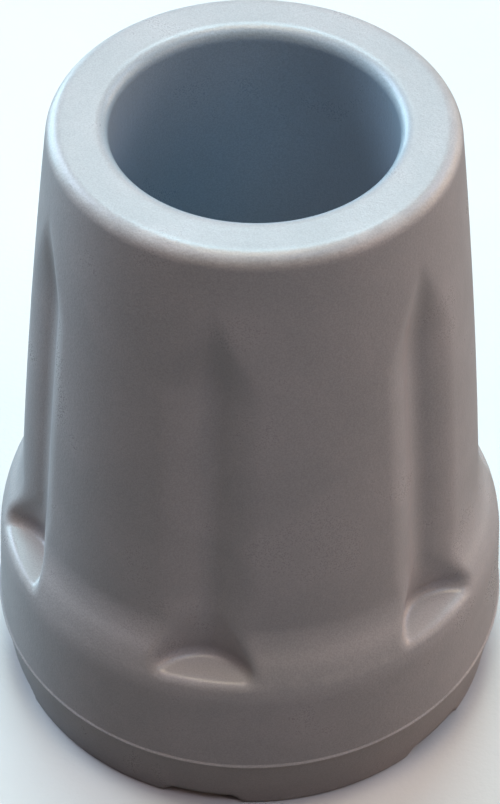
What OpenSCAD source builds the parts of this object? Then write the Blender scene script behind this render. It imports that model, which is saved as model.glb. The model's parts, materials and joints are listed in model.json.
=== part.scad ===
// Rubber tip for a walking cane: a blind moulded cup that pushes onto the end of a
// round shaft. It stands on its sole with its axis along Z and the sole at Z = 0.
// The whole tip is one moulded piece.

/* [Bore] */
// Diameter of the bore that grips the shaft
bore_d = 19; // [14:0.5:23]
// Thickness of rubber between the bore's floor and the ground
floor_t = 12; // [6:0.5:16]
// Radius rolled onto the mouth of the bore
mouth_round = 0.9; // [0.3:0.1:1.5]
// Radius in the corner of the bore's floor
floor_round = 1.5; // [0.5:0.1:3]

/* [Body] */
// Height of the tip
height = 48.5; // [40:0.5:60]
// Wall between the bore and the outside at the rim
rim_wall = 4; // [3.2:0.1:6]
// Radius rolled onto the outside of the rim
rim_round = 1; // [0.3:0.1:1.6]
// How far the body's foot stands out past the rim
body_flare = 3; // [1.5:0.1:5]
// How far the body's side bows out of a straight cone
body_bow = 0.2; // [0:0.05:0.5]

/* [Collar] */
// How far the collar's top edge stands out past the body's foot
shoulder_out = 1.7; // [1:0.1:4]
// Height of the collar's top edge above the ground
collar_z = 13; // [9:0.5:18]
// Height of the sloping shoulder between the collar and the body
shoulder_h = 3; // [1.5:0.1:6]
// Radius rolled onto the collar's top edge
collar_round = 0.8; // [0.2:0.1:1.2]
// Fillet where the shoulder meets the body
foot_fillet = 0.5; // [0.2:0.1:1]
// How far the collar's wall spreads from its top edge down to the parting line
collar_draft = 0.4; // [0:0.1:1]

/* [Sole] */
// Height of the mould's parting line above the ground
parting_z = 5; // [3:0.5:8]
// How far the thin flash on the parting line stands proud
flash_out = 0.12; // [0.05:0.01:0.3]
// How far the sole draws in below the parting line
sole_draw = 0.7; // [0:0.1:2]
// Bevel around the sole's edge
sole_bevel = 0.25; // [0.1:0.05:0.6]
// Width of a tread notch across its mouth
notch_w = 5.9; // [3:0.1:8]
// How far each side of a notch leans in towards its roof
notch_lean = 0.8; // [0:0.1:1.2]
// Depth of a tread notch
notch_depth = 0.9; // [0.4:0.1:2]
// Length of a tread notch from the sole's edge inwards
notch_length = 4.5; // [2:0.5:8]

/* [Flutes] */
// Number of flutes around the body, each above a tread notch
flute_count = 6; // [3:1:8]
// Depth of a flute below the body's side
flute_depth = 1.1; // [0.5:0.05:1.5]
// Radius in the root of a flute
flute_r = 1.6; // [1:0.1:2.5]
// Angle between the two sides of a flute
flute_angle = 110; // [80:5:130]
// Distance from the rim down to where the flutes run out
flute_gap = 4; // [3:0.5:12]
// Length over which a flute runs out at its top
flute_fade = 8; // [3:0.5:12]
// Radius of the pocket that each flute opens into, above the collar
pocket_r = 4; // [3:0.1:5]
// Depth of a pocket below the body's foot, at its ledge
pocket_depth = 1.5; // [1.2:0.1:2]
// Height over which a pocket runs out into its flute
pocket_rise = 7; // [6:0.5:10]

/* [Hidden] */
$fn = 96;
arc_steps = 6;
facet_turn = 9;
bow_steps = 6;
over = 1;

bore_r = bore_d / 2;
rim_r = bore_r + rim_wall;
foot_r = rim_r + body_flare;
foot_z = collar_z + shoulder_h;
collar_r = foot_r + shoulder_out;
parting_r = collar_r + collar_draft;
sole_r = parting_r - sole_draw;

// Points on the root of a flute: at the body's foot, where it starts to run out, and its top
fade_z = height - flute_gap - flute_fade;
flute_foot = [foot_r - flute_depth, foot_z];
flute_fade_low = [body_r(fade_z) - flute_depth, fade_z];
flute_top = [body_r(height - flute_gap), height - flute_gap];
pocket_low = [foot_r - pocket_depth, collar_z];
pocket_top = [foot_r, collar_z + pocket_rise];
flute_reach = parting_r + over;
first_angle = -90;

// Radius of the body's bowed side at a height above the ground
function body_r(z) =
    let (t = (z - foot_z) / (height - foot_z))
    foot_r + (rim_r - foot_r) * t + 4 * body_bow * t * (1 - t);

// Points of the arc that rounds the corner at b, between its neighbours a and c
function corner(a, b, c, r) =
    let (
        u = (a - b) / norm(a - b),
        v = (c - b) / norm(c - b),
        half = acos(u * v) / 2,
        mid = b + (u + v) / norm(u + v) * r / sin(half),
        from = b + u * r / tan(half) - mid,
        to = b + v * r / tan(half) - mid,
        start = atan2(from[1], from[0]),
        turn = atan2(to[1], to[0]) - start,
        sweep = turn > 180 ? turn - 360 : turn < -180 ? turn + 360 : turn
    )
    [for (i = [0:arc_steps]) let (angle = start + sweep * i / arc_steps) mid + r * [cos(angle), sin(angle)]];

// Half section of the outside, from the centre of the sole up to the centre of the rim
module outside_section() {
    bow_top_z = height - 2 * rim_round;
    bow_low_z = foot_z + 2 * foot_fillet;
    bow_rise = (bow_top_z - bow_low_z) / bow_steps;
    side = [for (i = [0:bow_steps]) let (z = bow_low_z + bow_rise * i) [body_r(z), z]];
    foot = [foot_r, foot_z];
    collar = [collar_r, collar_z];
    parting = [parting_r, parting_z];
    polygon(concat(
        [
            [0, 0],
            [sole_r - sole_bevel, 0],
            [sole_r, sole_bevel],
            [parting_r - flash_out, parting_z - flash_out],
            [parting_r + flash_out, parting_z],
            [parting_r, parting_z + flash_out]
        ],
        corner(parting, collar, foot, collar_round),
        corner(collar, foot, side[0], foot_fillet),
        side,
        corner(side[bow_steps], [rim_r, height], [0, height], rim_round),
        [[0, height]]
    ));
}

// The blind bore, with its rolled mouth and rounded floor corner
module bore() {
    mouth = [bore_r, height];
    floor_edge = [bore_r, floor_t];
    below = [bore_r, floor_t + 2 * floor_round];
    above = [bore_r, height - 2 * mouth_round];
    rotate_extrude()
        polygon(concat(
            [[0, height + over], [0, floor_t]],
            corner([0, floor_t], floor_edge, below, floor_round),
            corner(above, mouth, [bore_r + rim_wall, height], mouth_round),
            [[bore_r + mouth_round, height + over]]
        ));
}

// A long scoop, open outwards, whose root runs through two points given as [radius, height].
// Its sides stand at an angle to each other, or side by side when the angle is 0.
module scoop(low, top, r, angle) {
    turn = 90 - angle / 2;
    steps = ceil(turn / facet_turn);
    mouth = r * cos(angle / 2) + (flute_reach + r * sin(angle / 2)) * tan(angle / 2);
    translate([low[0], 0, low[1]])
        rotate([0, atan((top[0] - low[0]) / (top[1] - low[1])), 0])
            translate([r, 0, -height])
                linear_extrude(height = 2 * height)
                    polygon(concat(
                        [[flute_reach, -mouth]],
                        [for (i = [-steps:steps]) r * [-cos(turn * i / steps), sin(turn * i / steps)]],
                        [[flute_reach, mouth]]
                    ));
}

// Cutter for one flute: it follows the body's side, runs out below the rim, and opens
// below into a wider pocket over the flat ledge at the collar's top
module flute_cutter() {
    intersection() {
        union() {
            intersection() {
                scoop(flute_foot, flute_fade_low, flute_r, flute_angle);
                scoop(flute_fade_low, flute_top, flute_r, flute_angle);
            }
            scoop(pocket_low, pocket_top, pocket_r, 0);
        }
        translate([0, -flute_reach, collar_z])
            cube([2 * flute_reach, 2 * flute_reach, height]);
    }
}

// Cutter for one tread notch, with leaning sides, open at the sole's edge
module notch_cutter() {
    mouth = notch_w / 2;
    roof = mouth - notch_lean;
    below = mouth + notch_lean * over / notch_depth;
    translate([sole_r - notch_length, 0, 0])
        rotate([90, 0, 90])
            linear_extrude(height = notch_length + sole_draw + over)
                polygon([[-below, -over], [below, -over], [roof, notch_depth], [-roof, notch_depth]]);
}

module cane_tip() {
    color([0.36, 0.35, 0.36])
        difference() {
            rotate_extrude()
                outside_section();
            bore();
            for (i = [0:flute_count - 1])
                rotate([0, 0, first_angle + 360 * i / flute_count]) {
                    flute_cutter();
                    notch_cutter();
                }
        }
}

cane_tip();
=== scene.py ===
import json
import math
import bpy
from mathutils import Matrix, Vector


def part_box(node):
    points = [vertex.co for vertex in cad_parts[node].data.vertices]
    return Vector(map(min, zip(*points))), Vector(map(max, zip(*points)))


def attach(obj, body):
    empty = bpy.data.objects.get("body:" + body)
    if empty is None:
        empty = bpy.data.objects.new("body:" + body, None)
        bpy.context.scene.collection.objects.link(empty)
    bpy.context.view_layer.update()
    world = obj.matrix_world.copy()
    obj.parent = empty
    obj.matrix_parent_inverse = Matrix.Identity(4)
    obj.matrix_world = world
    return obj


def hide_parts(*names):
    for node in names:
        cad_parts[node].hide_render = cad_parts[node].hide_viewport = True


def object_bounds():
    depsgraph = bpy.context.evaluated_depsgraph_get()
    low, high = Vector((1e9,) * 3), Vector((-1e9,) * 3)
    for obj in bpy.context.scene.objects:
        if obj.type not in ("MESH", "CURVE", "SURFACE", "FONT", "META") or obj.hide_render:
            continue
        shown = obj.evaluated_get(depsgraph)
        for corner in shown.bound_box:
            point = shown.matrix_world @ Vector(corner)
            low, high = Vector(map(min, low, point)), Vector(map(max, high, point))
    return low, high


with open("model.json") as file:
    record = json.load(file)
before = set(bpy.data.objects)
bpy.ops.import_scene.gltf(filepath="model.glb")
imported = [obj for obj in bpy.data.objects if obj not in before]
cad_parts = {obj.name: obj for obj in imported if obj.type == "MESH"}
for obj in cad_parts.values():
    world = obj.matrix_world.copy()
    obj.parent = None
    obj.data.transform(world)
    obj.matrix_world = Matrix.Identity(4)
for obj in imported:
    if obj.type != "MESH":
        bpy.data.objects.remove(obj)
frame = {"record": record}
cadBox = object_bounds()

mm = 0.001  # piece values are in millimetres, the scene is in metres


def plug(tree, socket, value):
    # a result is linked, anything else is set on the socket
    if isinstance(value, bpy.types.NodeSocket):
        tree.links.new(value, socket)
    else:
        socket.default_value = value


def addNode(tree, kind, inputs=None, **settings):
    node = tree.nodes.new(kind)
    for name, value in settings.items():
        setattr(node, name, value)
    for name, value in (inputs or {}).items():
        plug(tree, node.inputs[name], value)
    return node


def mathsFor(tree):
    def maths(operation, *values):
        node = tree.nodes.new("ShaderNodeMath")
        node.operation = operation
        for socket, value in zip(node.inputs, values):
            plug(tree, socket, value)
        return node.outputs[0]
    return maths


def vectorMathsFor(tree):
    def maths(operation, *values, scale=None):
        node = tree.nodes.new("ShaderNodeVectorMath")
        node.operation = operation
        for socket, value in zip(node.inputs, values):
            plug(tree, socket, value)
        if scale is not None:
            plug(tree, node.inputs["Scale"], scale)
        return node.outputs["Value" if operation in ("LENGTH", "DOT_PRODUCT") else "Vector"]
    return maths


def newGroup(name, kind, inputs, outputs):
    # a socket is given as its type, or as its type and value
    group = bpy.data.node_groups.new(name, kind)
    for side, sockets in (("INPUT", inputs), ("OUTPUT", outputs)):
        for label, spec in sockets.items():
            socketKind, value = spec if isinstance(spec, tuple) else (spec, None)
            socketType = "NodeSocket" + socketKind
            socket = group.interface.new_socket(name=label, in_out=side, socket_type=socketType)
            if value is not None:
                socket.default_value = value
    given = group.nodes.new("NodeGroupInput").outputs
    result = group.nodes.new("NodeGroupOutput").inputs
    return group, given, result


def useGroup(tree, group, inputs):
    kind = "ShaderNodeGroup" if tree.bl_idname == "ShaderNodeTree" else "GeometryNodeGroup"
    return addNode(tree, kind, inputs, node_tree=group).outputs


def longSide(op, a, b):
    # the long side of a right triangle, from its two short ones
    return op("SQRT", op("ADD", op("MULTIPLY", a, a), op("MULTIPLY", b, b)))


def easeBetween(tree, value, low, high, start=0.0, end=1.0):
    # runs softly from start to end while the value goes from low to high
    inputs = {"Value": value, "From Min": low, "From Max": high, "To Min": start, "To Max": end}
    return addNode(tree, "ShaderNodeMapRange", inputs, interpolation_type="SMOOTHSTEP").outputs["Result"]


noiseLow, noiseHigh = 0.3, 0.7  # most of a noise's values lie between these


def addNoise(tree, position, scale, **inputs):
    # a seed, W, gives it a fourth dimension
    inputs = {"Vector": position, "Scale": scale, **inputs}
    dimensions = "4D" if "W" in inputs else "3D"
    return addNode(tree, "ShaderNodeTexNoise", inputs, noise_dimensions=dimensions).outputs[0]


def addObject(name, data):
    thing = bpy.data.objects.new(name, data)
    bpy.context.scene.collection.objects.link(thing)
    return thing


# The tip's sizes in millimetres, angles in degrees. The height, the bore and the widest radius come
# from the frame.
caneTip = {
    "rimWall": 4.0,
    "rimRound": 1.0,
    "floorRound": 1.5,
    "bodyFlare": 3.0,
    "bodyBow": 0.2,
    "footFillet": 0.5,
    "shoulderOut": 1.7,
    "shoulderHeight": 3.0,
    "collarHeight": 13.0,
    "collarRound": 0.8,
    "partingHeight": 5.0,
    "flashOut": 0.11,
    "flashRadius": 0.16,
    "flashThinnest": 0.55,  # a share of the flash's radius
    "flashSwing": 0.9,  # the share that noise adds to it
    "flashScale": 260.0,  # ragged patches in a metre
    "soleDraw": 0.7,
    "soleBevel": 0.3,
    "notchWidth": 5.9,
    "notchLean": 0.8,
    "notchDepth": 0.9,
    "notchLength": 4.5,
    "notchRound": 0.12,
    "fluteCount": 6,
    "fluteDepth": 1.1,
    "fluteRadius": 1.6,
    "fluteAngle": 110.0,
    "fluteGap": 4.0,
    "fluteFade": 8.0,
    "fluteLip": 1.2,
    "pocketRadius": 4.0,
    "pocketDepth": 1.5,
    "pocketRise": 7.0,
    "pocketLip": 0.6,
    "pocketFillet": 0.9,
    "waveHeight": 0.02,
    "waveSize": 7.0,
    "skinGap": 0.01,  # keeps the flash inside the solid's box
    "leastLip": 0.01,  # the lip that is left where a flute has run out
    "seed": 3.7,
}


def tipSizes(tip):
    # the named inputs of the tip's tree, in metres
    tipLow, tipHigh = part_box("cane_tip")
    bore = next(mount for mount in frame["record"]["mounts"] if mount["name"] == "cane_bore")
    boreMiddle, boreHalf = bore["pos_m"][2], bore["dims"]["length_mm"] * mm / 2
    boreRadius = bore["dims"]["r_mm"] * mm
    size = {name: value * mm for name, value in tip.items()}
    rimRadius = boreRadius + size["rimWall"]
    footRadius = rimRadius + size["bodyFlare"]
    partingRadius = tipHigh.x - size["flashOut"] - size["skinGap"]
    soleRadius = partingRadius - size["soleDraw"]
    return {
        "Height": tipHigh.z,
        "Bore Radius": boreRadius,
        "Bore Floor": boreMiddle - boreHalf - size["floorRound"],
        "Floor Round": size["floorRound"],
        "Mouth Round": tipHigh.z - boreMiddle - boreHalf,
        "Rim Radius": rimRadius,
        "Rim Round": size["rimRound"],
        "Foot Radius": footRadius,
        "Foot Height": size["collarHeight"] + size["shoulderHeight"],
        "Foot Fillet": size["footFillet"],
        "Body Bow": size["bodyBow"],
        "Collar Radius": footRadius + size["shoulderOut"],
        "Collar Height": size["collarHeight"],
        "Collar Round": size["collarRound"],
        "Parting Radius": partingRadius,
        "Parting Height": size["partingHeight"],
        "Flash Out": size["flashOut"],
        "Flash Radius": size["flashRadius"],
        "Flash Thinnest": tip["flashThinnest"],
        "Flash Swing": tip["flashSwing"],
        "Flash Scale": tip["flashScale"],
        "Sole Radius": soleRadius,
        "Sole Bevel": size["soleBevel"],
        "Notch Half Width": size["notchWidth"] / 2,
        "Notch Lean": size["notchLean"],
        "Notch Depth": size["notchDepth"],
        "Notch Start": soleRadius - size["notchLength"],
        "Notch Round": size["notchRound"],
        "Flute Count": float(tip["fluteCount"]),
        "Flute Depth": size["fluteDepth"],
        "Flute Radius": size["fluteRadius"],
        "Flute Half Angle": math.radians(tip["fluteAngle"] / 2),
        "Flute Top": tipHigh.z - size["fluteGap"],
        "Flute Fade": size["fluteFade"],
        "Flute Lip": size["fluteLip"],
        "Least Lip": size["leastLip"],
        "Pocket Radius": size["pocketRadius"],
        "Pocket Depth": size["pocketDepth"],
        "Pocket Rise": size["pocketRise"],
        "Pocket Lip": size["pocketLip"],
        "Pocket Fillet": size["pocketFillet"],
        "Wave Height": size["waveHeight"],
        "Wave Size": size["waveSize"],
        "Seed": tip["seed"],
    }


def cornerGroup(name, sign):
    # sign 1: two faces meet on a rounded outside edge. sign -1: they join in a filleted corner.
    group, given, result = newGroup(
        name, "GeometryNodeTree", {"A": "Float", "B": "Float", "Round": "Float"}, {"Distance": "Float"})
    op = mathsFor(group)
    a = op("MULTIPLY", given["A"], sign)
    b = op("MULTIPLY", given["B"], sign)
    nearA = op("MAXIMUM", op("ADD", a, given["Round"]), 0.0)
    nearB = op("MAXIMUM", op("ADD", b, given["Round"]), 0.0)
    flat = op("MINIMUM", op("MULTIPLY", given["Round"], -1.0), op("MAXIMUM", a, b))
    plug(group, result["Distance"], op("MULTIPLY", op("ADD", flat, longSide(op, nearA, nearB)), sign))
    return group


def slopeGroup():
    # distance outside a straight slope between two rings
    sockets = ["Radius", "Height", "Upper Radius", "Upper Height", "Lower Radius", "Lower Height"]
    group, given, result = newGroup(
        "slopeDistance", "GeometryNodeTree", {name: "Float" for name in sockets}, {"Distance": "Float"})
    op = mathsFor(group)
    rise = op("SUBTRACT", given["Upper Height"], given["Lower Height"])
    run = op("SUBTRACT", given["Lower Radius"], given["Upper Radius"])
    outwards = op("MULTIPLY", op("SUBTRACT", given["Radius"], given["Upper Radius"]), rise)
    upwards = op("MULTIPLY", op("SUBTRACT", given["Height"], given["Upper Height"]), run)
    plug(group, result["Distance"], op("DIVIDE", op("ADD", outwards, upwards), longSide(op, rise, run)))
    return group


def tipRuleGroup(sizes):
    # how far a point lies outside the tip's skin, or inside it when negative
    meet = cornerGroup("roundEdge", 1.0)
    join = cornerGroup("filletCorner", -1.0)
    slope = slopeGroup()
    inputs = {"Position": "Vector", **{name: "Float" for name in sizes}}
    group, given, result = newGroup("tipRule", "GeometryNodeTree", inputs, {"Distance": "Float"})
    op = mathsFor(group)

    def meeting(a, b, radius):
        return useGroup(group, meet, {"A": a, "B": b, "Round": radius})["Distance"]

    def joining(a, b, radius):
        return useGroup(group, join, {"A": a, "B": b, "Round": radius})["Distance"]

    place = addNode(group, "ShaderNodeSeparateXYZ", {"Vector": given["Position"]}).outputs
    height = place["Z"]
    radius = longSide(op, place["X"], place["Y"])

    def sloping(upper, lower):
        return useGroup(group, slope, {
            "Radius": radius,
            "Height": height,
            "Upper Radius": given[upper + " Radius"],
            "Upper Height": given[upper + " Height"],
            "Lower Radius": given[lower + " Radius"],
            "Lower Height": 0.0 if lower == "Sole" else given[lower + " Height"],
        })["Distance"]

    # the bowed side of the body, under the rim
    bodyHeight = op("SUBTRACT", given["Height"], given["Foot Height"])
    up = op("DIVIDE", op("SUBTRACT", height, given["Foot Height"]), bodyHeight)
    taper = op("MULTIPLY", op("SUBTRACT", given["Rim Radius"], given["Foot Radius"]), up)
    arch = op("MULTIPLY", up, op("SUBTRACT", 1.0, up))  # a quarter at its middle
    bow = op("MULTIPLY", op("MULTIPLY", given["Body Bow"], 4.0), arch)
    sideRadius = op("ADD", given["Foot Radius"], op("ADD", taper, bow))
    rimTop = op("SUBTRACT", height, given["Height"])
    body = meeting(op("SUBTRACT", radius, sideRadius), rimTop, given["Rim Round"])

    # the collar, its shoulder and the sole's band, with the flash on the parting line
    collar = meeting(sloping("Foot", "Collar"), sloping("Collar", "Parting"), given["Collar Round"])
    collar = op("MAXIMUM", collar, sloping("Parting", "Sole"))
    ragged = addNoise(group, given["Position"], given["Flash Scale"], W=given["Seed"], Detail=2.0)
    share = op("ADD", given["Flash Thinnest"], op("MULTIPLY", given["Flash Swing"], ragged))
    thickness = op("MULTIPLY", given["Flash Radius"], share)
    flashRing = op("SUBTRACT", op("ADD", given["Parting Radius"], given["Flash Out"]), given["Flash Radius"])
    flashSide = op("SUBTRACT", radius, flashRing)
    flashUp = op("SUBTRACT", height, given["Parting Height"])
    flash = op("SUBTRACT", longSide(op, flashSide, flashUp), op("MINIMUM", thickness, given["Flash Radius"]))
    collar = op("MINIMUM", collar, flash)
    skin = joining(body, collar, given["Foot Fillet"])
    skin = meeting(skin, op("MULTIPLY", height, -1.0), given["Sole Bevel"])

    # every flute and notch is the same one, folded round the axis
    turn = op("DIVIDE", 2 * math.pi, given["Flute Count"])
    angle = op("ARCTAN2", place["X"], op("MULTIPLY", place["Y"], -1.0))
    folded = op("WRAP", angle, op("MULTIPLY", turn, 0.5), op("MULTIPLY", turn, -0.5))
    outwards = op("MULTIPLY", radius, op("COSINE", folded))
    sideways = op("ABSOLUTE", op("MULTIPLY", radius, op("SINE", folded)))

    # a flute is a rounded vee, open outwards, that follows the side and runs out below the rim
    aboveLedge = op("SUBTRACT", height, given["Collar Height"])
    fade = op("DIVIDE", op("SUBTRACT", given["Flute Top"], height), given["Flute Fade"])
    fade = easeBetween(group, fade, 0.0, 1.0)
    depth = op("MULTIPLY", given["Flute Depth"], fade)
    rootMiddle = op("ADD", op("SUBTRACT", sideRadius, depth), given["Flute Radius"])
    inwards = op("SUBTRACT", outwards, rootMiddle)
    lean, spread = op("COSINE", given["Flute Half Angle"]), op("SINE", given["Flute Half Angle"])
    alongWall = op("ADD", op("MULTIPLY", inwards, lean), op("MULTIPLY", sideways, spread))
    towardsWall = op("SUBTRACT", op("MULTIPLY", sideways, lean), op("MULTIPLY", inwards, spread))
    towardsRoot = longSide(op, alongWall, towardsWall)
    isRoot = op("LESS_THAN", alongWall, 0.0)
    reach = op("ADD", towardsWall, op("MULTIPLY", isRoot, op("SUBTRACT", towardsRoot, towardsWall)))
    outsideScoop = op("SUBTRACT", given["Flute Radius"], reach)

    # it widens into a pocket over the ledge at the collar's top
    rise = op("SUBTRACT", 1.0, op("DIVIDE", aboveLedge, given["Pocket Rise"]))
    pocketRoot = op("SUBTRACT", given["Foot Radius"], op("MULTIPLY", given["Pocket Depth"], rise))
    pocketMiddle = op("ADD", pocketRoot, given["Pocket Radius"])
    inwards = op("MINIMUM", op("SUBTRACT", outwards, pocketMiddle), 0.0)
    outsidePocket = op("SUBTRACT", given["Pocket Radius"], longSide(op, inwards, sideways))
    outsideScoop = meeting(outsideScoop, outsidePocket, given["Pocket Lip"])
    outsideScoop = joining(outsideScoop, aboveLedge, given["Pocket Fillet"])

    # the lip is softer along the flute than round the pocket
    fluteLip = op("ADD", op("MULTIPLY", given["Flute Lip"], fade), given["Least Lip"])
    lipStart = op("SUBTRACT", given["Foot Height"], given["Flute Lip"])
    lipEnd = op("ADD", given["Foot Height"], op("MULTIPLY", given["Flute Lip"], 3.0))
    lip = easeBetween(group, height, lipStart, lipEnd, given["Pocket Lip"], fluteLip)
    skin = meeting(skin, outsideScoop, lip)

    # the tread notch under each flute
    notchUp = op("DIVIDE", height, given["Notch Depth"])
    notchSide = op("SUBTRACT", given["Notch Half Width"], op("MULTIPLY", given["Notch Lean"], notchUp))
    notchBack = op("SUBTRACT", given["Notch Start"], outwards)
    notchTop = op("SUBTRACT", height, given["Notch Depth"])
    outsideNotch = op("MAXIMUM", op("SUBTRACT", sideways, notchSide), notchTop)
    outsideNotch = op("MAXIMUM", outsideNotch, notchBack)
    skin = meeting(skin, op("MULTIPLY", outsideNotch, -1.0), given["Notch Round"])

    # the blind bore and its rolled mouth
    boreSide = op("SUBTRACT", given["Bore Radius"], radius)
    boreUp = op("SUBTRACT", height, given["Bore Floor"])
    skin = meeting(skin, joining(boreSide, boreUp, given["Floor Round"]), given["Mouth Round"])

    # a soft moulding is never quite true
    waveScale = op("DIVIDE", 1.0, given["Wave Size"])
    wave = addNoise(group, given["Position"], waveScale, W=given["Seed"], Detail=1.0)
    plug(group, result["Distance"], op("ADD", skin, op("MULTIPLY", given["Wave Height"], wave)))
    return group


def smooth(value, low, high):
    t = min(max((value - low) / (high - low), 0.0), 1.0)
    return t * t * (3 - 2 * t)


# How finely the tip's skin is meshed round the axis
caneTipMesh = {
    "columnsAtFlute": 40,
    "columnsBetween": 16,
    "fluteShare": 0.56,  # the share of the turn that a flute's columns take
}


def gridOfRays(tip, sizes):
    # A tube of points runs inside the wall from the middle of the sole, out over the rim and down the bore.
    # Each point has an aim, towards the skin it will lie on.
    top, foot, floor = sizes["Height"], sizes["Foot Height"], sizes["Bore Floor"]
    collar, parting = sizes["Collar Height"], sizes["Parting Height"]
    rim, bore, sole = sizes["Rim Radius"], sizes["Bore Radius"], sizes["Sole Radius"]
    inner = (bore + rim) / 2
    pad = floor / 2
    low = collar - 4 * mm
    pole = 0.6 * mm
    inRim = (inner, top - 1.8 * mm)
    inFloor = (inner, floor - 1.5 * mm)
    # target ring and height, origin ring and height, rows to the next station
    stations = [
        ((pole, 0), (pole, pad), 14),  # the middle of the sole
        ((sizes["Notch Start"] - 0.8 * mm, 0), (inner, pad), 24),  # the notches
        ((sole - 0.3 * mm, 0), (inner, pad), 8),  # the sole's bevel
        ((sole, 0.35 * mm), (inner, pad), 14),
        ((sole + 0.5 * mm, parting - 0.35 * mm), (inner, pad), 12),  # the flash
        ((sole + 0.7 * mm, parting + 0.3 * mm), (inner, pad), 14),
        ((sizes["Collar Radius"], collar - 1.0 * mm), (inner, low), 10),  # the collar's edge
        ((sizes["Collar Radius"], collar), (inner, low), 30),  # the shoulder and the ledges
        ((sizes["Foot Radius"], foot), (inner, low), 20),  # the pockets
        ((sizes["Foot Radius"], foot + 5 * mm), (inner, foot), 34),  # the side
        ((rim, top - 3 * mm), (inner, top - 3 * mm), 4),
        ((rim, top - 1.3 * mm), inRim, 14),  # the rim's round
        ((rim - 1.3 * mm, top), inRim, 5),
        ((bore + 1.1 * mm, top), inRim, 12),  # the mouth's round
        ((bore, top - 1.1 * mm), inRim, 30),  # the bore
        ((bore, floor + 1.8 * mm), inFloor, 10),  # the round of its floor
        ((bore - 1.8 * mm, floor), inFloor, 8),
        ((pole, floor), (pole, pad), 0),  # the middle of its floor
    ]
    rows = []
    for (target, origin, count), (nextTarget, nextOrigin, _) in zip(stations, stations[1:]):
        for i in range(count):
            rows.append([a + (b - a) * i / count for a, b in zip(target + origin, nextTarget + nextOrigin)])
    rows.append(list(stations[-1][0] + stations[-1][1]))

    # columns stand closer together at a flute than between two
    period = 2 * math.pi / tip["fluteCount"]
    near, far = caneTipMesh["columnsAtFlute"], caneTipMesh["columnsBetween"]
    edge = caneTipMesh["fluteShare"] * period / 2
    steps = [-edge + 2 * edge * i / near for i in range(near)]
    steps += [edge + (period - 2 * edge) * i / far for i in range(far)]
    angles = [k * period + step for k in range(tip["fluteCount"]) for step in steps]

    points, aims, eases = [], [], []
    for targetRing, targetUp, originRing, originUp in rows:
        for angle in angles:
            side = Vector((math.sin(angle), -math.cos(angle), 0))
            origin = side * originRing + Vector((0, 0, originUp))
            target = side * targetRing + Vector((0, 0, targetUp))
            off = abs((angle + period / 2) % period - period / 2) / edge
            isFlute = smooth(targetUp, low, collar) * (1 - smooth(targetUp, top - 6 * mm, top - 4 * mm))
            isOutside = targetRing > inner + 0.5 * mm
            points.append(origin)
            aims.append((target - origin).normalized())
            eases.append(isFlute * isOutside * (1 - smooth(off, 0.8, 1.0)))
    across = len(angles)
    faces = []
    for row in range(len(rows) - 1):
        for i in range(across):
            a, b = row * across + i, row * across + (i + 1) % across
            faces.append((a, b, b + across, a + across))
    # a fan of faces closes the sole, and another the floor of the bore
    for firstOfRing, aim in ((0, -1), ((len(rows) - 1) * across, 1)):
        middle = len(points)
        points.append(Vector((0, 0, pad)))
        aims.append(Vector((0, 0, aim)))
        eases.append(0.0)
        for i in range(across):
            a, b = firstOfRing + i, firstOfRing + (i + 1) % across
            faces.append((middle, b, a) if aim < 0 else (middle, a, b))
    mesh = bpy.data.meshes.new("caneTipRays")
    mesh.from_pydata([point[:] for point in points], [], faces)
    aimLayer = mesh.attributes.new("aim", "FLOAT_VECTOR", "POINT")
    aimLayer.data.foreach_set("vector", [part for aim in aims for part in aim])
    easeLayer = mesh.attributes.new("ease", "FLOAT", "POINT")
    easeLayer.data.foreach_set("value", eases)
    return mesh


def repeatZone(tree, geometry, times):
    start = tree.nodes.new("GeometryNodeRepeatInput")
    end = tree.nodes.new("GeometryNodeRepeatOutput")
    start.pair_with_output(end)
    plug(tree, start.inputs["Iterations"], times)
    plug(tree, start.inputs["Geometry"], geometry)
    return start.outputs["Geometry"], end


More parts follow.
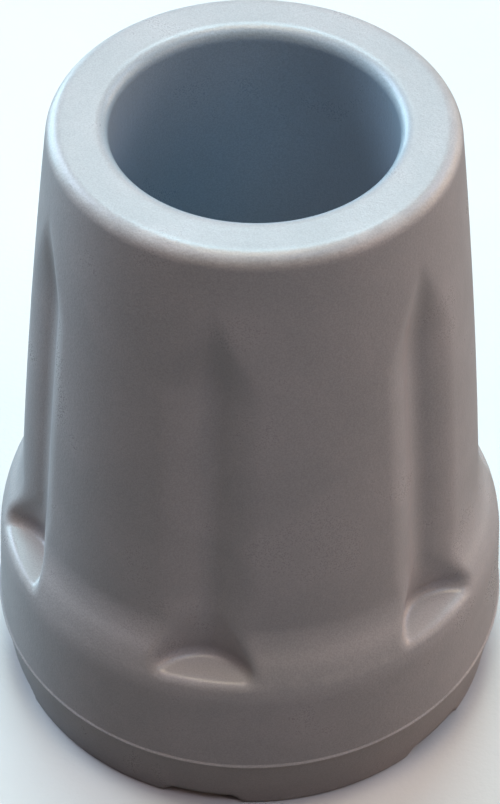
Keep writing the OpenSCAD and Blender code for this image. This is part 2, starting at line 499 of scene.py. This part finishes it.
def caneTipTree(sizes):
    # sends each point along its aim to the skin, then evens the points out along it
    rule = tipRuleGroup(sizes)
    inputs = {
        "Rays": "Geometry", "Finish": "Material", "Aim Steps": ("Int", 40), "Ease Steps": ("Int", 14),
        "Settle Steps": ("Int", 3), **{name: ("Float", value) for name, value in sizes.items()}}
    tree, given, result = newGroup("caneTip", "GeometryNodeTree", inputs, {"Geometry": "Geometry"})
    op = mathsFor(tree)
    along = vectorMathsFor(tree)
    position = tree.nodes.new("GeometryNodeInputPosition").outputs[0]
    sizeSockets = {name: given[name] for name in sizes}

    def distanceAt(point):
        return useGroup(tree, rule, {"Position": point, **sizeSockets})["Distance"]

    def setPosition(geometry, **inputs):
        return addNode(tree, "GeometryNodeSetPosition", {"Geometry": geometry, **inputs}).outputs["Geometry"]

    def attribute(name, kind):
        node = addNode(tree, "GeometryNodeInputNamedAttribute", {"Name": name}, data_type=kind)
        return node.outputs["Attribute"]

    step = along("SCALE", attribute("aim", "FLOAT_VECTOR"), scale=op("MULTIPLY", distanceAt(position), -1.0))
    moving, aimEnd = repeatZone(tree, given["Rays"], given["Aim Steps"])
    plug(tree, aimEnd.inputs["Geometry"], setPosition(moving, Offset=step))

    # four readings round a point give the skin's slope there, and their mean the way back to it
    reach = 0.02 * mm
    slope, total = None, None
    for corner in ((1, -1, -1), (-1, -1, 1), (-1, 1, -1), (1, 1, 1)):
        reading = distanceAt(along("ADD", position, tuple(side * reach for side in corner)))
        part = along("SCALE", corner, scale=reading)
        slope = part if slope is None else along("ADD", slope, part)
        total = reading if total is None else op("ADD", total, reading)
    back = along("SCALE", along("NORMALIZE", slope), scale=op("MULTIPLY", total, -1 / 4))

    # at the flutes the points are blurred together, and put back on the skin after each blur
    blur = addNode(tree, "GeometryNodeBlurAttribute", {
        "Iterations": 1, "Weight": attribute("ease", "FLOAT")}, data_type="FLOAT_VECTOR")
    plug(tree, next(socket for socket in blur.inputs if socket.enabled and socket.name == "Value"), position)
    evened = next(socket for socket in blur.outputs if socket.enabled)
    moving, easeEnd = repeatZone(tree, aimEnd.outputs["Geometry"], given["Ease Steps"])
    plug(tree, easeEnd.inputs["Geometry"], setPosition(setPosition(moving, Position=evened), Offset=back))
    moving, settleEnd = repeatZone(tree, easeEnd.outputs["Geometry"], given["Settle Steps"])
    plug(tree, settleEnd.inputs["Geometry"], setPosition(moving, Offset=back))

    geometry = settleEnd.outputs["Geometry"]
    geometry = addNode(tree, "GeometryNodeSetShadeSmooth", {"Geometry": geometry}).outputs[0]
    geometry = addNode(tree, "GeometryNodeRealizeInstances", {"Geometry": geometry}).outputs[0]
    finished = addNode(tree, "GeometryNodeSetMaterial", {"Geometry": geometry, "Material": given["Finish"]})
    plug(tree, result["Geometry"], finished.outputs[0])
    return tree


def socketIds(tree):
    sockets = [item for item in tree.interface.items_tree if item.item_type == "SOCKET"]
    return {socket.name: socket.identifier for socket in sockets if socket.in_out == "INPUT"}


def makeCaneTip(sizes, finish):
    rays = gridOfRays(caneTip, sizes)
    tree = caneTipTree(sizes)
    piece = addObject("caneTipBuild", rays)
    modifier = piece.modifiers.new("caneTip", "NODES")
    modifier.node_group = tree
    ids = socketIds(tree)
    modifier[ids["Finish"]] = finish
    for name, value in sizes.items():
        modifier[ids[name]] = value
    graph = bpy.context.evaluated_depsgraph_get()
    mesh = bpy.data.meshes.new_from_object(piece.evaluated_get(graph), depsgraph=graph)
    mesh.name = "caneTip"
    for name in ("aim", "ease"):
        if name in mesh.attributes:
            mesh.attributes.remove(mesh.attributes[name])
    bpy.data.objects.remove(piece)
    return addObject("caneTip", mesh)


def fineGrainGroup():
    # the fine grain of a surface: a height, and a mask of specks
    group, given, result = newGroup(
        "fineGrain", "ShaderNodeTree",
        {"Position": "Vector", "Grain Size": ("Float", 0.0003), "Speck Size": ("Float", 0.0001)},
        {"Height": "Float", "Specks": "Float"})
    op = mathsFor(group)
    grainScale = op("DIVIDE", 1.0, given["Grain Size"])
    grain = addNoise(group, given["Position"], grainScale, Detail=3.0, Roughness=0.55)
    speckScale = op("DIVIDE", 1.0, given["Speck Size"])
    specks = addNoise(group, given["Position"], speckScale, Detail=1.0)
    speckHeight = 0.3  # beside a grain's height of 1
    plug(group, result["Height"], op("MULTIPLY_ADD", specks, speckHeight, grain))
    plug(group, result["Specks"], easeBetween(group, specks, noiseLow, noiseHigh))
    return group


def unevenToneGroup():
    # two tones that drift into each other in soft patches
    group, given, result = newGroup(
        "unevenTone", "ShaderNodeTree",
        {"Position": "Vector", "Patch Size": ("Float", 0.008), "Tone": "Color", "Other Tone": "Color"},
        {"Color": "Color", "Patches": "Float"})
    op = mathsFor(group)
    patchScale = op("DIVIDE", 1.0, given["Patch Size"])
    patches = addNoise(group, given["Position"], patchScale, Detail=4.0, Roughness=0.6, Distortion=0.4)
    soft = easeBetween(group, patches, noiseLow, noiseHigh)
    plug(group, result["Color"], mixColours(group, soft, given["Tone"], given["Other Tone"]))
    plug(group, result["Patches"], soft)
    return group


def ringWearGroup():
    # patchy wear along an edge that runs round the axis
    group, given, result = newGroup(
        "ringWear", "ShaderNodeTree",
        {"Position": "Vector", "Ring Radius": "Float", "Ring Height": "Float", "Reach": ("Float", 0.001),
         "Patch Size": ("Float", 0.002)},
        {"Mask": "Float"})
    op = mathsFor(group)
    place = addNode(group, "ShaderNodeSeparateXYZ", {"Vector": given["Position"]}).outputs
    side = op("SUBTRACT", longSide(op, place["X"], place["Y"]), given["Ring Radius"])
    up = op("SUBTRACT", place["Z"], given["Ring Height"])
    near = op("SUBTRACT", 1.0, op("DIVIDE", longSide(op, side, up), given["Reach"]))
    patchScale = op("DIVIDE", 1.0, given["Patch Size"])
    patches = addNoise(group, given["Position"], patchScale, Detail=5.0, Roughness=0.65)
    contrast, threshold = 2.4, 1.6  # how sharply the patches break the wear up, and how much they take
    worn = op("ADD", near, op("MULTIPLY_ADD", patches, contrast, -threshold))
    plug(group, result["Mask"], easeBetween(group, worn, 0.0, 0.8))
    return group


def mixColours(tree, factor, colour, otherColour):
    node = tree.nodes.new("ShaderNodeMix")
    node.data_type = "RGBA"
    sockets = [socket for socket in node.inputs if socket.enabled]
    for socket, value in zip(sockets, (factor, colour, otherColour)):
        plug(tree, socket, value)
    return next(socket for socket in node.outputs if socket.enabled)


def newMaterial(name):
    material = bpy.data.materials.new(name)
    material.use_nodes = True
    tree = material.node_tree
    position = addNode(tree, "ShaderNodeTexCoord").outputs["Object"]
    return material, tree, tree.nodes["Principled BSDF"], position


# Lengths in millimetres, colours in linear light
rubberLook = {
    "tone": (0.385, 0.365, 0.375, 1),
    "otherTone": (0.345, 0.335, 0.345, 1),
    # painted blue light for the bore's wall, not the rubber's own tone
    "boreTone": (0.29, 0.36, 0.42, 1),
    "wornTone": (0.50, 0.48, 0.48, 1),
    "dust": (0.52, 0.49, 0.46, 1),
    "patchSize": 7.0,
    "grainSize": 0.26,
    "speckSize": 0.11,
    "grainDepth": 0.02,
    "speckContrast": 0.16,
    "roughness": 0.30,
    "roughnessSpread": 0.08,
    "wornRoughness": 0.16,  # added where it is worn
    "speckRoughness": 0.04,  # added at the specks
    "rimWearReach": 1.3,
    "collarWearReach": 1.04,
    "soleWearReach": 1.82,
    "wearPatchSize": 1.6,
    "wearAmount": 0.35,
    "dustAmount": 0.18,
    "dustPatchiness": 0.7,
    "dustTop": (1.5, -0.5),  # above the body's foot: none, and full
    "dustBottom": (-0.8, 0.2),  # above the collar's top: none, and full
    "drawLineSize": 0.25,
    "drawLineDepth": 0.01,
    "drawLineStretch": 50.0,
}


def greyRubber(look, sizes, grain, tone, wear):
    material, tree, shader, position = newMaterial("greyRubber")
    op = mathsFor(tree)
    surface = useGroup(tree, grain, {
        "Position": position, "Grain Size": look["grainSize"] * mm, "Speck Size": look["speckSize"] * mm})
    body = useGroup(tree, tone, {
        "Position": position, "Patch Size": look["patchSize"] * mm,
        "Tone": look["tone"], "Other Tone": look["otherTone"]})

    # handling scuffs the rim, the collar and the sole's edge
    worn = None
    for ringRadius, ringHeight, reach in (
            (sizes["Rim Radius"], sizes["Height"], look["rimWearReach"]),
            (sizes["Collar Radius"], sizes["Collar Height"], look["collarWearReach"]),
            (sizes["Sole Radius"], 0.0, look["soleWearReach"])):
        ring = useGroup(tree, wear, {
            "Position": position, "Ring Radius": ringRadius, "Ring Height": ringHeight,
            "Reach": reach * mm, "Patch Size": look["wearPatchSize"] * mm})["Mask"]
        worn = ring if worn is None else op("MAXIMUM", worn, ring)

    # dust gathers on the shoulder and the ledges, below the foot of the body
    place = addNode(tree, "ShaderNodeSeparateXYZ", {"Vector": position}).outputs
    noneAbove, fullBelow = (sizes["Foot Height"] + side * mm for side in look["dustTop"])
    noneBelow, fullAbove = (sizes["Collar Height"] + side * mm for side in look["dustBottom"])
    band = op("MULTIPLY", easeBetween(tree, place["Z"], noneAbove, fullBelow),
              easeBetween(tree, place["Z"], noneBelow, fullAbove))
    normal = tree.nodes.new("ShaderNodeNewGeometry").outputs["Normal"]
    facingUp = addNode(tree, "ShaderNodeSeparateXYZ", {"Vector": normal}).outputs["Z"]
    patchy = op("MULTIPLY_ADD", body["Patches"], look["dustPatchiness"], 1 - look["dustPatchiness"])
    settled = op("MULTIPLY", op("MULTIPLY", band, op("MAXIMUM", facingUp, 0.0)), patchy)

    # the bore is painted a bluer tone: painted blue light, standing in for the cool light bounced round
    # inside it
    radius = longSide(op, place["X"], place["Y"])
    inBore = easeBetween(tree, radius, sizes["Bore Radius"] + sizes["Mouth Round"], sizes["Bore Radius"])
    inBore = op("MULTIPLY", inBore, op("GREATER_THAN", place["Z"], sizes["Bore Floor"] / 2))

    # the painted blue light is mixed in over the bore
    colour = mixColours(tree, inBore, body["Color"], look["boreTone"])
    colour = mixColours(tree, op("MULTIPLY", worn, look["wearAmount"]), colour, look["wornTone"])
    colour = mixColours(tree, op("MULTIPLY", settled, look["dustAmount"]), colour, look["dust"])
    speck = op("MULTIPLY_ADD", surface["Specks"], look["speckContrast"], 1 - look["speckContrast"] / 2)
    shade = addNode(tree, "ShaderNodeHueSaturation", {"Color": colour, "Value": speck}).outputs["Color"]
    plug(tree, shader.inputs["Base Color"], shade)

    smoothest = look["roughness"] - look["roughnessSpread"] / 2
    rough = op("MULTIPLY_ADD", body["Patches"], look["roughnessSpread"], smoothest)
    rough = op("MULTIPLY_ADD", worn, look["wornRoughness"], rough)
    rough = op("MULTIPLY_ADD", surface["Specks"], look["speckRoughness"], rough)
    plug(tree, shader.inputs["Roughness"], rough)

    # the core pin leaves faint lines down the bore
    stretched = vectorMathsFor(tree)("MULTIPLY", position, (1.0, 1.0, 1 / look["drawLineStretch"]))
    lines = addNoise(tree, stretched, 1 / (look["drawLineSize"] * mm), Detail=2.0)
    drawn = op("MULTIPLY", op("MULTIPLY", lines, inBore), look["drawLineDepth"] / look["grainDepth"])
    relief = op("ADD", surface["Height"], drawn)
    bump = addNode(tree, "ShaderNodeBump", {"Height": relief, "Distance": look["grainDepth"] * mm})
    plug(tree, shader.inputs["Normal"], bump.outputs["Normal"])
    return material


fineGrain = fineGrainGroup()
unevenTone = unevenToneGroup()
tipMeasures = tipSizes(caneTip)
rubber = greyRubber(rubberLook, tipMeasures, fineGrain, unevenTone, ringWearGroup())
print("rubber: ready")

tip = makeCaneTip(tipMeasures, rubber)
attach(tip, "root")
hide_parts("cane_tip")
print("cane tip:", len(tip.data.vertices), "points,", len(tip.data.polygons), "faces")


# The camera stands in front and above, turned a little round the tip. Angles are in degrees, lengths in
# millimetres.
cameraView = {
    "bearing": 10.4,
    "pitch": 44.648,
    "roll": 0.624,
    "side": -0.097,
    "back": 151.03,
    "up": 172.02,
    "lens": 134.33,
}


def makeCamera(view):
    data = bpy.data.cameras.new("camera")
    data.lens = view["lens"]
    data.sensor_width = 36
    camera = addObject("camera", data)
    turn = Matrix.Rotation(math.radians(view["bearing"]), 4, "Z")
    place = Matrix.Translation(Vector((view["side"], -view["back"], view["up"])) * mm)
    tilt = Matrix.Rotation(math.radians(90 - view["pitch"]), 4, "X")
    roll = Matrix.Rotation(math.radians(view["roll"]), 4, "Z")
    camera.matrix_world = turn @ place @ tilt @ roll
    data.clip_start, data.clip_end = 0.01, 10
    bpy.context.scene.camera = camera


makeCamera(cameraView)
print("camera: ready")


# The floor looks pale, and throws little light back up at the tip
floorLook = {
    "width": 3000.0,
    "tone": (0.60, 0.60, 0.60, 1),
    "otherTone": (0.57, 0.57, 0.575, 1),
    "bounceTone": (0.18, 0.17, 0.16, 1),
    "patchSize": 60.0,
    "grainSize": 0.5,
    "speckSize": 0.2,
    "grainDepth": 0.02,
    "roughness": 0.6,
    "roughnessSpread": 0.08,
}


def makeFloor(look, grain, tone):
    material, tree, shader, position = newMaterial("paleFloor")
    surface = useGroup(tree, grain, {
        "Position": position, "Grain Size": look["grainSize"] * mm, "Speck Size": look["speckSize"] * mm})
    paint = useGroup(tree, tone, {
        "Position": position, "Patch Size": look["patchSize"] * mm,
        "Tone": look["tone"], "Other Tone": look["otherTone"]})
    seen = tree.nodes.new("ShaderNodeLightPath").outputs["Is Camera Ray"]
    plug(tree, shader.inputs["Base Color"], mixColours(tree, seen, look["bounceTone"], paint["Color"]))
    rough = mathsFor(tree)("MULTIPLY_ADD", paint["Patches"], look["roughnessSpread"], look["roughness"])
    plug(tree, shader.inputs["Roughness"], rough)
    bump = addNode(tree, "ShaderNodeBump", {"Height": surface["Height"], "Distance": look["grainDepth"] * mm})
    plug(tree, shader.inputs["Normal"], bump.outputs["Normal"])

    half = look["width"] * mm / 2
    mesh = bpy.data.meshes.new("floor")
    corners = [(-half, -half, 0), (half, -half, 0), (half, half, 0), (-half, half, 0)]
    mesh.from_pydata(corners, [], [(0, 1, 2, 3)])
    mesh.materials.append(material)
    addObject("floor", mesh)


makeFloor(floorLook, fineGrain, unevenTone)
print("floor: ready")


# Soft round lights stand round and over the tip, turned with the camera, and the room beyond them is dark.
# Each has its turn from the camera's side, height in degrees, width in metres, brightness and colour.
studioLights = {
    "window": (180, 60, 0.3, 1.8, (0.68, 1.1, 1.24)),
    "windowLeft": (236, 35, 0.3, 1.6, (0.76, 0.97, 1.24)),
    "skyLowLeft": (224, 7, 0.4, 2.3, (0.70, 1.06, 1.22)),
    "ceiling": (180, 88, 0.3, 1.45, (1.2, 1.03, 0.75)),
    "backRight": (120, 35, 0.3, 0.6, (0.8, 0.96, 1.3)),
    "lampRight": (112, 8, 0.5, 1.3, (1.4, 0.95, 0.62)),
    "roomRight": (60, 25, 0.3, 0.3, (1.35, 0.9, 0.7)),
    "roomFront": (45, 60, 0.3, 0.5, (0.75, 1.0, 1.3)),
    "roomLeft": (315, 60, 0.3, 0.38, (1.18, 0.88, 0.9)),
}
lightDistance = 0.6  # metres from the middle of the tip


def makeLights(lights, distance, view):
    middle = Vector((0, 0, sum(corner.z for corner in cadBox) / 2))
    for name, (turn, height, width, brightness, colour) in lights.items():
        data = bpy.data.lights.new(name, "AREA")
        data.shape = "DISK"
        data.size = width
        data.energy = brightness * math.pi * distance ** 2
        data.color = colour
        light = addObject(name, data)
        bearing, lift = math.radians(turn + view["bearing"]), math.radians(height)
        level = math.cos(lift)
        away = Vector((math.sin(bearing) * level, -math.cos(bearing) * level, math.sin(lift)))
        facing = away.to_track_quat("Z", "Y").to_matrix().to_4x4()
        light.matrix_world = Matrix.Translation(middle + away * distance) @ facing


def makeDarkRoom():
    world = bpy.data.worlds.new("studio")
    bpy.context.scene.world = world
    world.use_nodes = True
    world.node_tree.nodes["Background"].inputs["Strength"].default_value = 0.0


makeLights(studioLights, lightDistance, cameraView)
makeDarkRoom()
bpy.context.scene.view_settings.view_transform = "Standard"
print("lights:", len(studioLights))
